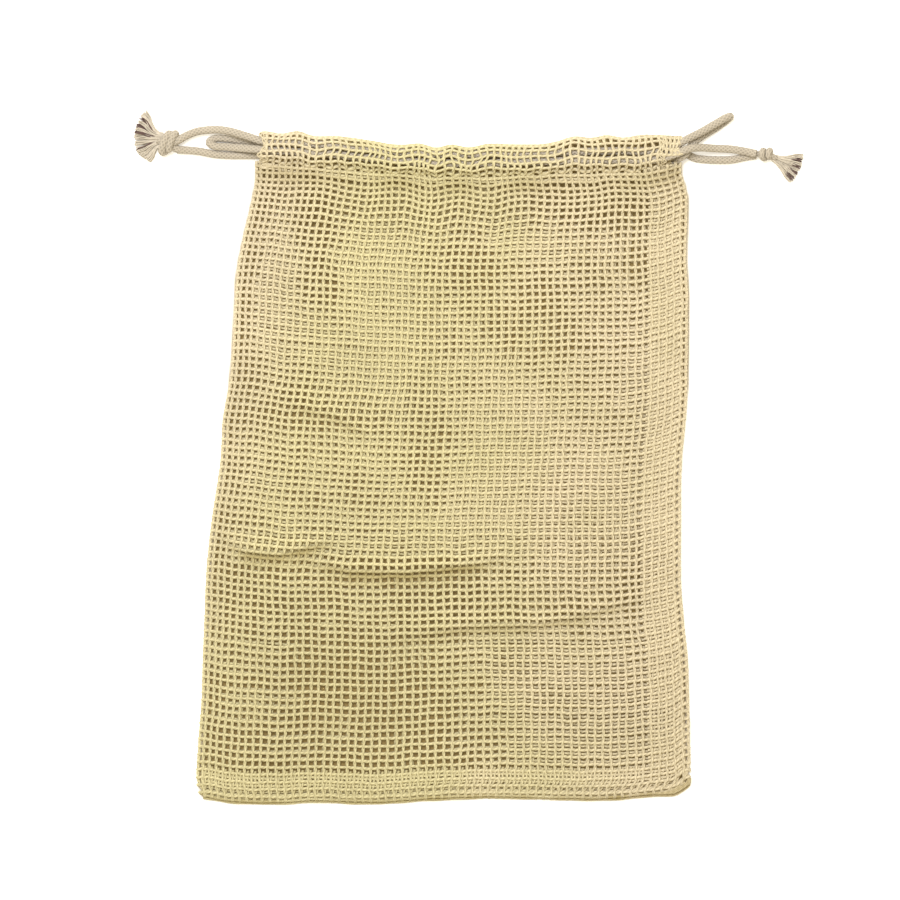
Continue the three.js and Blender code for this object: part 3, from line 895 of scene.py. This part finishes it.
def spinning_tree():
    """A tree that spins loose lines into round yarn and notes where each point lies on it."""
    tree = bpy.data.node_groups.get("Spin yarn")
    if tree:
        return tree
    tree = bpy.data.node_groups.new("Spin yarn", "GeometryNodeTree")
    outside(tree, "Geometry", "Geometry")
    outside(tree, "Diameter", "Float", 0.001)
    outside(tree, "Sides", "Int", 5)
    outside(tree, "Finish", "Material")
    outside(tree, "Geometry", "Geometry", direction="OUTPUT")
    source = tree.nodes.new("NodeGroupInput").outputs
    # the line, and how thick the yarn is along it
    lines = add(tree, "GeometryNodeMeshToCurve", {"Mesh": source["Geometry"]})
    on_line = add(tree, "GeometryNodeSplineParameter")
    line = capture(tree, lines.outputs["Curve"], Length=on_line.outputs["Length"])
    plump = add(tree, "GeometryNodeInputNamedAttribute", {"Name": "plump"}, data_type="FLOAT")
    half = maths(tree, "MULTIPLY", source["Diameter"], 0.5)
    radius = maths(tree, "MULTIPLY", half, plump.outputs["Attribute"])
    # the ring that is drawn along it
    circle = add(tree, "GeometryNodeCurvePrimitiveCircle", {"Resolution": source["Sides"], "Radius": 1.0})
    on_ring = add(tree, "GeometryNodeSplineParameter")
    turn = maths(tree, "MULTIPLY", on_ring.outputs["Factor"], 2 * math.pi)
    cosine, sine = maths(tree, "COSINE", turn), maths(tree, "SINE", turn)
    ring = capture(tree, circle.outputs["Curve"], Cosine=cosine, Sine=sine)
    yarn = add(tree, "GeometryNodeCurveToMesh", {
        "Curve": line["Geometry"], "Profile Curve": ring["Geometry"], "Scale": radius, "Fill Caps": True,
    })
    made = yarn.outputs["Mesh"]
    for name, value in (("along", line["Length"]), ("round_x", ring["Cosine"]), ("round_y", ring["Sine"])):
        store = add(tree, "GeometryNodeStoreNamedAttribute", {"Geometry": made, "Name": name},
                    data_type="FLOAT", domain="POINT")
        wire(tree, value, store.inputs["Value"])
        made = store.outputs["Geometry"]
    smooth = add(tree, "GeometryNodeSetShadeSmooth", {"Geometry": made})
    realize = add(tree, "GeometryNodeRealizeInstances", {"Geometry": smooth.outputs["Geometry"]})
    finish = add(tree, "GeometryNodeSetMaterial", {
        "Geometry": realize.outputs["Geometry"], "Material": source["Finish"],
    })
    wire(tree, finish.outputs["Geometry"], tree.nodes.new("NodeGroupOutput").inputs["Geometry"])
    return tree


def spin(threads, name, diameter, sides, finish):
    """Spins the threads into one plain mesh object."""
    lines = bpy.data.objects.new(name + "_lines", threads.mesh(name + "_lines"))
    bpy.context.scene.collection.objects.link(lines)
    tree = spinning_tree()
    spinner = lines.modifiers.new("Spin", "NODES")
    spinner.node_group = tree
    values = {"Diameter": diameter, "Sides": sides, "Finish": finish}
    for item in tree.interface.items_tree:
        if item.item_type == "SOCKET" and item.in_out == "INPUT" and item.name in values:
            spinner[item.identifier] = values[item.name]
    depsgraph = bpy.context.evaluated_depsgraph_get()
    mesh = bpy.data.meshes.new_from_object(lines.evaluated_get(depsgraph))
    mesh.name = name
    lines_mesh = lines.data
    bpy.data.objects.remove(lines)
    bpy.data.meshes.remove(lines_mesh)
    piece = bpy.data.objects.new(name, mesh)
    bpy.context.scene.collection.objects.link(piece)
    if not len(mesh.polygons):
        raise RuntimeError(f"{name} came out empty")
    return piece


def split(threads, parts):
    """Shares the threads out over several pieces, in order."""
    count = len(threads.lengths)
    shared = []
    for part in range(parts):
        one = Threads()
        for i in range(part * count // parts, (part + 1) * count // parts):
            one.add(threads.points[i], threads.plump[i], threads.tint[i])
        shared.append(one)
    return shared


# ---------------------------------------------------------------- finishes

def shader_group(name, inputs, outputs):
    """A new shader node group, and the sockets inside it for its inputs and its outputs."""
    group = bpy.data.node_groups.new(name, "ShaderNodeTree")
    for label, kind, default in inputs:
        outside(group, label, kind, default)
    for label, kind in outputs:
        outside(group, label, kind, direction="OUTPUT")
    return group, group.nodes.new("NodeGroupInput").outputs, group.nodes.new("NodeGroupOutput").inputs


def attribute(tree, name):
    """A number that the piece holds at each of its points."""
    return add(tree, "ShaderNodeAttribute", attribute_name=name).outputs["Fac"]


def noise(tree, scale, detail):
    """Noise that lies still on the piece."""
    place = add(tree, "ShaderNodeTexCoord").outputs["Object"]
    made = add(tree, "ShaderNodeTexNoise", {"Vector": place, "Scale": scale, "Detail": detail})
    return made.outputs["Fac"]


def ramp(tree, value, low, high, most=1.0, kind="LINEAR"):
    """A number that goes from zero to its most while a value goes from low to high."""
    inputs = {"Value": value, "From Min": low, "From Max": high, "To Max": most}
    made = add(tree, "ShaderNodeMapRange", inputs, interpolation_type=kind)
    return made.outputs["Result"]


def blend(tree, factor, first, second):
    """A colour between two others."""
    made = add(tree, "ShaderNodeMix", {"Factor": factor, "A": first, "B": second}, data_type="RGBA")
    return made.outputs["Result"]


def scaled(tree, colour, level):
    """A colour made lighter or darker."""
    made = add(tree, "ShaderNodeVectorMath", {"Scale": level}, operation="SCALE")
    wire(tree, colour, made.inputs[0])
    return made.outputs["Vector"]


def plied_group():
    """The twist of a plied yarn with painted light and shade on its plies, its fibres, its uneven colour,
    and its painted shade.
    """
    group = bpy.data.node_groups.get("Plied cotton")
    if group:
        return group
    group, source, sink = shader_group(
        "Plied cotton",
        [
            ("Colour", "Color", (0.8, 0.7, 0.5, 1)), ("Pale", "Color", (0.8, 0.7, 0.5, 1)),
            ("Shade", "Color", (0.25, 0.20, 0.065, 1)), ("Plies", "Float", 3.0), ("Twist", "Float", 4.0),
            ("Contrast", "Float", 0.25),
        ],
        [("Colour", "Color"), ("Height", "Float")],
    )
    length = maths(group, "MULTIPLY", attribute(group, "along"), 1 / TWIST_RUN)
    turns = maths(group, "MULTIPLY", length, source["Twist"])
    angle = maths(group, "ARCTAN2", attribute(group, "round_y"), attribute(group, "round_x"))
    plies = maths(group, "MULTIPLY", angle, source["Plies"])
    ply = maths(group, "MULTIPLY_ADD", maths(group, "SINE", maths(group, "ADD", turns, plies)), 0.5, 0.5)
    fibre = noise(group, PLIED_FIBRE, 3)
    patch = noise(group, PLIED_PATCH, 4)
    tint = attribute(group, "tint")
    place = add(group, "ShaderNodeTexCoord").outputs["Object"]
    sides = add(group, "ShaderNodeSeparateXYZ", {"Vector": place}).outputs
    # how light the cotton is: painted light on its plies' ridges and painted shade in their hollows, its
    # fibres, its tone with its painted light and shade, its patches, and painted shade that makes it a
    # little darker at the foot
    level = maths(group, "MULTIPLY_ADD", ply, 0.30, 0.72)
    level = maths(group, "MULTIPLY_ADD", fibre, source["Contrast"], level)
    level = maths(group, "MULTIPLY_ADD", maths(group, "MAXIMUM", tint, -1.0), 0.035, level)
    level = maths(group, "MULTIPLY_ADD", patch, 0.16, level)
    level = maths(group, "SUBTRACT", maths(group, "MULTIPLY_ADD", sides["Y"], 0.25, level), 0.16)
    # paler towards the sewn side and the upper left
    right = maths(group, "MULTIPLY_ADD", patch, 0.16, maths(group, "SUBTRACT", sides["X"], 0.08))
    left = maths(group, "MULTIPLY_ADD", sides["Y"], 0.3, maths(group, "MULTIPLY", sides["X"], -1.0))
    paleness = maths(
        group, "MAXIMUM", ramp(group, right, -0.02, 0.125, kind="SMOOTHSTEP"),
        ramp(group, left, 0.075, 0.135, kind="SMOOTHSTEP"),
    )
    lit = scaled(group, blend(group, paleness, source["Colour"], source["Pale"]), level)
    # and darker with the painted shade, where tint says so
    shaded = ramp(group, tint, *SHADED_TINTS, most=0.8)
    wire(group, blend(group, shaded, lit, source["Shade"]), sink["Colour"])
    wire(group, maths(group, "MULTIPLY_ADD", ply, 0.8, fibre), sink["Height"])
    return group


def braid_group():
    """The plaits of a braided cord, crossing both ways round it, with painted shade in the hollows between
    them.
    """
    group, source, sink = shader_group(
        "Braided cotton",
        [("Colour", "Color", (0.6, 0.5, 0.4, 1)), ("Plait", "Float", 0.0024), ("Strands", "Float", 6.0)],
        [("Colour", "Color"), ("Height", "Float")],
    )
    turns = maths(group, "DIVIDE", attribute(group, "along"), source["Plait"])
    length = maths(group, "MULTIPLY", turns, 2 * math.pi)
    angle = maths(group, "ARCTAN2", attribute(group, "round_y"), attribute(group, "round_x"))
    strands = maths(group, "MULTIPLY", angle, source["Strands"])
    one_way = maths(group, "SINE", maths(group, "ADD", length, strands))
    other_way = maths(group, "SINE", maths(group, "SUBTRACT", length, strands))
    plait = maths(group, "MAXIMUM", one_way, other_way)
    fibre = noise(group, BRAID_FIBRE, 4)
    # painted light and shade: the cord is lighter on its plaits and darker between them
    level = maths(group, "MULTIPLY_ADD", plait, 0.17, 0.55)
    level = maths(group, "MULTIPLY_ADD", fibre, 0.42, level)
    level = maths(group, "MULTIPLY_ADD", noise(group, BRAID_PATCH, 2), 0.24, level)
    wire(group, scaled(group, source["Colour"], level), sink["Colour"])
    wire(group, maths(group, "ADD", plait, fibre), sink["Height"])
    return group


def cotton(name, group, values, bump, gloss):
    """A matt cotton finish whose yarns follow the piece's own lines; bump is a strength and a depth."""
    material = bpy.data.materials.new(name)
    material.use_nodes = True
    tree = material.node_tree
    yarn = add(tree, "ShaderNodeGroup", values, node_tree=group).outputs
    strength, depth = bump
    inputs = {"Strength": strength, "Distance": depth, "Height": yarn["Height"]}
    relief = add(tree, "ShaderNodeBump", inputs)
    shader = tree.nodes["Principled BSDF"].inputs
    wire(tree, relief.outputs["Normal"], shader["Normal"])
    wire(tree, yarn["Colour"], shader["Base Color"])
    shader["Roughness"].default_value = 0.9
    shader["Specular IOR Level"].default_value = gloss
    shader["Sheen Weight"].default_value = 0.1
    shader["Sheen Roughness"].default_value = 0.6
    return material


def net_cotton():
    """The plied cotton of the net, with a painted glow that stands for the little light that its yarns let
    through.
    """
    material = bpy.data.materials.get("Net cotton")
    if material:
        return material
    settings = bpy.context.scene.bag_net
    material = cotton("Net cotton", plied_group(), {
        "Colour": (*settings.colour, 1), "Pale": (*settings.pale, 1), "Shade": (*settings.shade, 1),
        "Plies": 2.0, "Twist": 9.0, "Contrast": 0.14,
    }, (0.6, 0.00012), 0.25)
    shader = material.node_tree.nodes["Principled BSDF"].inputs
    # the painted glow of the net's yarns
    shader["Emission Color"].default_value = (*settings.painted_glow_colour, 1)
    shader["Emission Strength"].default_value = PAINTED_GLOW
    return material


def cord_cotton():
    """The braided cotton of the drawcords and their knots."""
    material = bpy.data.materials.get("Cord cotton")
    if material:
        return material
    settings = bpy.context.scene.bag_cord
    values = {"Colour": (*settings.colour, 1), "Plait": settings.braid}
    return cotton("Cord cotton", braid_group(), values, (0.8, 0.00026), 0.2)


def fray_cotton():
    """Loose yarn of the frayed ends, with dark yarns among the pale ones."""
    material = bpy.data.materials.get("Frayed cotton")
    if material:
        return material
    settings = bpy.context.scene.bag_cord
    loose = (*settings.loose, 1)
    material = cotton("Frayed cotton", plied_group(), {
        "Colour": loose, "Pale": loose, "Plies": 2.0, "Twist": 7.0, "Contrast": 0.2,
    }, (0.6, 0.0001), 0.25)
    tree = material.node_tree
    base = tree.nodes["Principled BSDF"].inputs["Base Color"]
    dark = ramp(tree, attribute(tree, "tint"), 1.0, DARK_TINT)
    wire(tree, blend(tree, dark, base.links[0].from_socket, (*settings.fleck, 1)), base)
    return material


# ---------------------------------------------------------------- cords, knots and frayed ends

def spline_through(points, spacing):
    """Evenly spaced points on the centripetal curve through the route's points, and its length."""
    p = np.array(points, float)
    p = np.vstack([2 * p[0] - p[1], p, 2 * p[-1] - p[-2]])
    t = np.linspace(0, 1, 60, endpoint=False)[:, None]
    out = []
    for p0, p1, p2, p3 in zip(p, p[1:], p[2:], p[3:]):
        d0, d1, d2 = (math.sqrt(np.linalg.norm(leap)) for leap in (p1 - p0, p2 - p1, p3 - p2))
        leave = (p1 - p0) / d0 - (p2 - p0) / (d0 + d1) + (p2 - p1) / d1
        arrive = (p2 - p1) / d1 - (p3 - p1) / (d1 + d2) + (p3 - p2) / d2
        out.append(hermite(p1, p2, leave * d1, arrive * d1, t))
    dense = np.vstack([*out, p[-2]])
    run = np.concatenate([[0], np.cumsum(np.linalg.norm(np.diff(dense, axis=0), axis=1))])
    where = np.linspace(0, run[-1], int(round(run[-1] / spacing)) + 1)
    return np.stack([np.interp(where, run, dense[:, k]) for k in range(3)], 1), run[-1]


def drawcord(side):
    """One drawcord along its whole route, with its line and its length."""
    settings = bpy.context.scene.bag_cord
    route = LEFT_CORD_ROUTE if side == "left" else RIGHT_CORD_ROUTE
    line, length = spline_through(route, CORD_SPACING)
    threads = Threads()
    threads.add(line)
    cord = spin(threads, f"drawcord_{side}_braid", settings.diameter, 20, cord_cotton())
    return cord, line, length


def knot_line(knot, thickness):
    """The line of an overhand knot that fills the knot's room."""
    turn = np.linspace(-0.35, 1.45, 150) * 2 * math.pi
    part = (turn / (2 * math.pi) - 0.55) / 0.9
    across = 0.95 * part - 0.38 * np.sin(turn - 0.4)
    narrow = np.sqrt(np.clip(1 - 0.42 * np.abs(part) ** 3, 0, 1))
    shape = np.stack([across, np.cos(turn) * narrow, np.sin(turn) * narrow], 1)
    shape = shape * (np.array(knot["radii"]) - thickness / 2)
    shape[:, 0] += knot["lean"] * shape[:, 1]
    return np.array(knot["centre"]) + shape


def heading(angle):
    """The flat direction at an angle from +X."""
    return np.array([math.cos(angle), math.sin(angle), 0])


def fray_lines(fray):
    """Loose yarns that fan out from the neck of a frayed end."""
    made = Threads()
    rng = np.random.default_rng(fray["seed"])
    root = np.array(fray["root"])
    middle = (fray["from"] + fray["to"]) / 2
    ahead = heading(middle)
    side = np.array([-math.sin(middle), math.cos(middle), 0])
    steps = np.linspace(0, 1, 9)
    for _ in range(fray["strands"]):
        lean = rng.uniform(fray["from"], fray["to"])
        reach = fray["length"] * rng.uniform(0.88, 1.0) * (1 - 0.30 * smoothstep(lean, *fray["short"]))
        share = (lean - middle) / (fray["to"] - fray["from"]) * 2
        start = root + side * share * fray["neck"] + np.array([0, 0, rng.uniform(-1.3, 1.3)])
        out = heading(lean)
        height = rng.uniform(0.5, 4.0)
        curl = rng.normal(0, 0.3, 2)
        points = []
        for s in steps:
            at = start + mix(ahead, out, min(1, s * 1.3)) * reach * s
            at = at + side * curl[0] * math.sin(3.1 * s)
            at[2] = max(0.45, mix(start[2], height, s**0.8))
            points.append(at)
        tint = np.full(len(steps), rng.uniform(-1, 1))
        if any(low < lean < high for low, high in fray["dark"]):
            tint[steps > fray["dark_from"] + rng.uniform(-0.12, 0.12)] = DARK_TINT
        made.add(np.array(points), np.linspace(1.1, 0.9, len(steps)), tint)
    return made


# ---------------------------------------------------------------- the floor

def floor_mesh():
    """A wide floor that notes where the bag covers it, where it gets its painted shade, seen through the
    holes of the net.
    """
    xs = np.concatenate([[-FLOOR_REACH], np.arange(-132, 133, FLOOR_STEP), [FLOOR_REACH]])
    ys = np.concatenate([[-FLOOR_REACH], np.arange(-177, 178, FLOOR_STEP), [FLOOR_REACH]])
    x, y = np.meshgrid(xs, ys)
    left = np.where(y > CASING_STITCHES[0][1], CASING_LEFT, through(LEFT_EDGE, y))
    right = np.where(y > CASING_STITCHES[-1][1], CASING_RIGHT, through(RIGHT_EDGE, y))
    top = through(TOP_EDGE, x) - y
    inside = np.minimum.reduce([x - left, right - x, y - through(BOTTOM_EDGE, x), 3 * top])
    points = np.stack([x, y, 0 * x], -1).reshape(-1, 3) * MM
    place = np.arange(x.size).reshape(x.shape)
    corners = np.stack([place[:-1, :-1], place[:-1, 1:], place[1:, 1:], place[1:, :-1]], -1)
    mesh = bpy.data.meshes.new("floor")
    mesh.from_pydata(points.tolist(), [], corners.reshape(-1, 4).tolist())
    layer = mesh.attributes.new("painted_under_bag", "FLOAT", "POINT")
    layer.data.foreach_set("value", smoothstep(inside, *PAINTED_UNDER_BAG_FADE).astype(np.float32).ravel())
    return mesh


def floor_paint(settings):
    """White round the bag, and under it a painted shade of dark warm tone with a painted warm glow, which
    shows through the net.
    """
    paint = bpy.data.materials.new("Floor")
    paint.use_nodes = True
    tree = paint.node_tree
    painted_under_bag = attribute(tree, "painted_under_bag")
    shader = tree.nodes["Principled BSDF"].inputs
    wire(tree, blend(tree, painted_under_bag, (*settings.floor, 1), (*settings.shade, 1)), shader["Base Color"])
    wire(tree, blend(tree, painted_under_bag, (1, 1, 1, 1), (*settings.painted_glow_colour, 1)), shader["Emission Color"])
    shader["Emission Strength"].default_value = settings.glow
    shader["Roughness"].default_value = 0.95
    shader["Specular IOR Level"].default_value = 0.1
    return paint


# ---------------------------------------------------------------- operators

def place(name, data, location=(0, 0, 0)):
    """A new object in the scene."""
    made = bpy.data.objects.new(name, data)
    made.location = location
    bpy.context.scene.collection.objects.link(made)
    return made


def declare(piece, node):
    """Puts a piece on the one body, and hides the solid that it replaces."""
    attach(piece, "root")
    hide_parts(node)


class MakeStage(bpy.types.Operator):
    """Makes the camera, the floor and the light"""

    bl_idname = "netbag.stage"
    bl_label = "Stage"

    def execute(self, context):
        scene = context.scene
        settings = scene.bag_stage
        camera = bpy.data.cameras.new("camera")
        camera.sensor_width = SENSOR
        camera.lens = SENSOR * SEEN_FROM / SEEN_WIDTH
        camera.clip_end = 20
        scene.camera = place("camera", camera, CAMERA_PLACE)
        scene.view_settings.view_transform = "Standard"
        floor = place("floor", floor_mesh())
        floor.data.materials.append(floor_paint(settings))
        lamp = bpy.data.lights.new("key", "AREA")
        lamp.energy = settings.key
        lamp.size = KEY_SIZE
        key = place("key", lamp, KEY_PLACE)
        key.rotation_euler = Vector(KEY_PLACE).to_track_quat("Z", "Y").to_euler()
        world = bpy.data.worlds.new("Soft studio")
        world.use_nodes = True
        background = world.node_tree.nodes["Background"].inputs
        background["Color"].default_value = (*settings.sky, 1)
        background["Strength"].default_value = settings.fill
        scene.world = world
        return {"FINISHED"}


class MakeCords(bpy.types.Operator):
    """Makes the two drawcords with their knots and frayed ends"""

    bl_idname = "netbag.cords"
    bl_label = "Drawcords"

    def execute(self, context):
        settings = context.scene.bag_cord
        for side in ("left", "right"):
            cord, line, length = drawcord(side)
            shape = KNOTS[side]
            tightness = shape["tightness"]
            turns = Threads()
            turns.add(knot_line(shape, settings.diameter / MM * tightness), tightness)
            for core in shape["cores"]:
                turns.add(spline_through(core, CORD_SPACING)[0], tightness)
            knot = spin(turns, f"knot_{side}_turns", settings.diameter, 16, cord_cotton())
            yarns = fray_lines(FRAYS[side])
            fray = spin(yarns, f"frayed_end_{side}_yarns", FRAY_YARN, 4, fray_cotton())
            declare(cord, f"drawcord_{side}")
            declare(knot, f"knot_{side}")
            declare(fray, f"frayed_end_{side}")
        return {"FINISHED"}


class MakeNet(bpy.types.Operator):
    """Makes the sack's front and back net thread by thread"""

    bl_idname = "netbag.net"
    bl_label = "Net"

    def execute(self, context):
        settings = context.scene.bag_net
        finish = net_cotton()
        seed = settings.seed
        made = []
        for front, label, parts in ((True, "front", 3), (False, "back", 2)):
            sides = 4 if front else 3
            pairs = lengthways(front, seed + 10 * front)
            for number, part in enumerate(split(pairs, parts), 1):
                made.append(spin(part, f"net_{label}_lengthways_{number}", settings.yarn, sides, finish))
            wefts = crossways(front, seed + 5 + 10 * front)
            for number, part in enumerate(split(wefts, 2), 1):
                made.append(spin(part, f"net_{label}_crossways_{number}", settings.weft, sides + 1, finish))
        for front, label in ((True, "front"), (False, "back")):
            pairs = allowance_pairs(front, seed + 7)
            made.append(spin(pairs, f"net_{label}_allowance", settings.yarn, 3, finish))
        made.append(spin(hem_rows(seed), "net_hem_crossways", settings.weft, 4, finish))
        made.append(spin(edge_pairs(seed + 3), "net_edge_lengthways", settings.yarn, 4, finish))
        for piece in made:
            declare(piece, "net_sack")
        return {"FINISHED"}


class MakeCasing(bpy.types.Operator):
    """Makes the casing's crossways threads, its stitches and the rims of its openings"""

    bl_idname = "netbag.casing"
    bl_label = "Casing"

    def execute(self, context):
        settings = context.scene.bag_net
        finish = net_cotton()
        made = [
            spin(casing_rows(True, settings.seed + 30), "casing_front_crossways", settings.weft, 5, finish),
            spin(casing_rows(False, settings.seed + 31), "casing_back_crossways", settings.weft, 4, finish),
            spin(stitches(), "casing_stitches", SEWING_THREAD, 4, finish),
            spin(flap(settings.seed + 32), "casing_flap", settings.yarn, 5, finish),
        ]
        for piece in made:
            declare(piece, "net_sack")
        return {"FINISHED"}


class NetBagPanel(bpy.types.Panel):
    """Lists the bag's makers in the sidebar"""

    bl_idname = "VIEW3D_PT_net_bag"
    bl_label = "Net Bag"
    bl_space_type = "VIEW_3D"
    bl_region_type = "UI"
    bl_category = "Net Bag"

    def draw(self, context):
        layout = self.layout
        scene = context.scene
        shown = (("Net", scene.bag_net), ("Cords", scene.bag_cord), ("Stage", scene.bag_stage))
        for label, settings in shown:
            box = layout.box()
            box.label(text=label)
            for name in settings.__annotations__:
                box.prop(settings, name)
        for maker in MAKERS:
            layout.operator(maker.bl_idname)


SETTINGS = (("bag_net", NetSettings), ("bag_cord", CordSettings), ("bag_stage", StageSettings))
MAKERS = (MakeStage, MakeCords, MakeNet, MakeCasing)


def register():
    for name, group in SETTINGS:
        bpy.utils.register_class(group)
        setattr(bpy.types.Scene, name, PointerProperty(type=group))
    for maker in (*MAKERS, NetBagPanel):
        bpy.utils.register_class(maker)


def unregister():
    for maker in reversed((*MAKERS, NetBagPanel)):
        bpy.utils.unregister_class(maker)
    for name, group in reversed(SETTINGS):
        delattr(bpy.types.Scene, name)
        bpy.utils.unregister_class(group)


def main():
    register()
    bpy.ops.netbag.stage()
    bpy.ops.netbag.cords()
    bpy.ops.netbag.net()
    bpy.ops.netbag.casing()


if __name__ == "__main__":
    main()
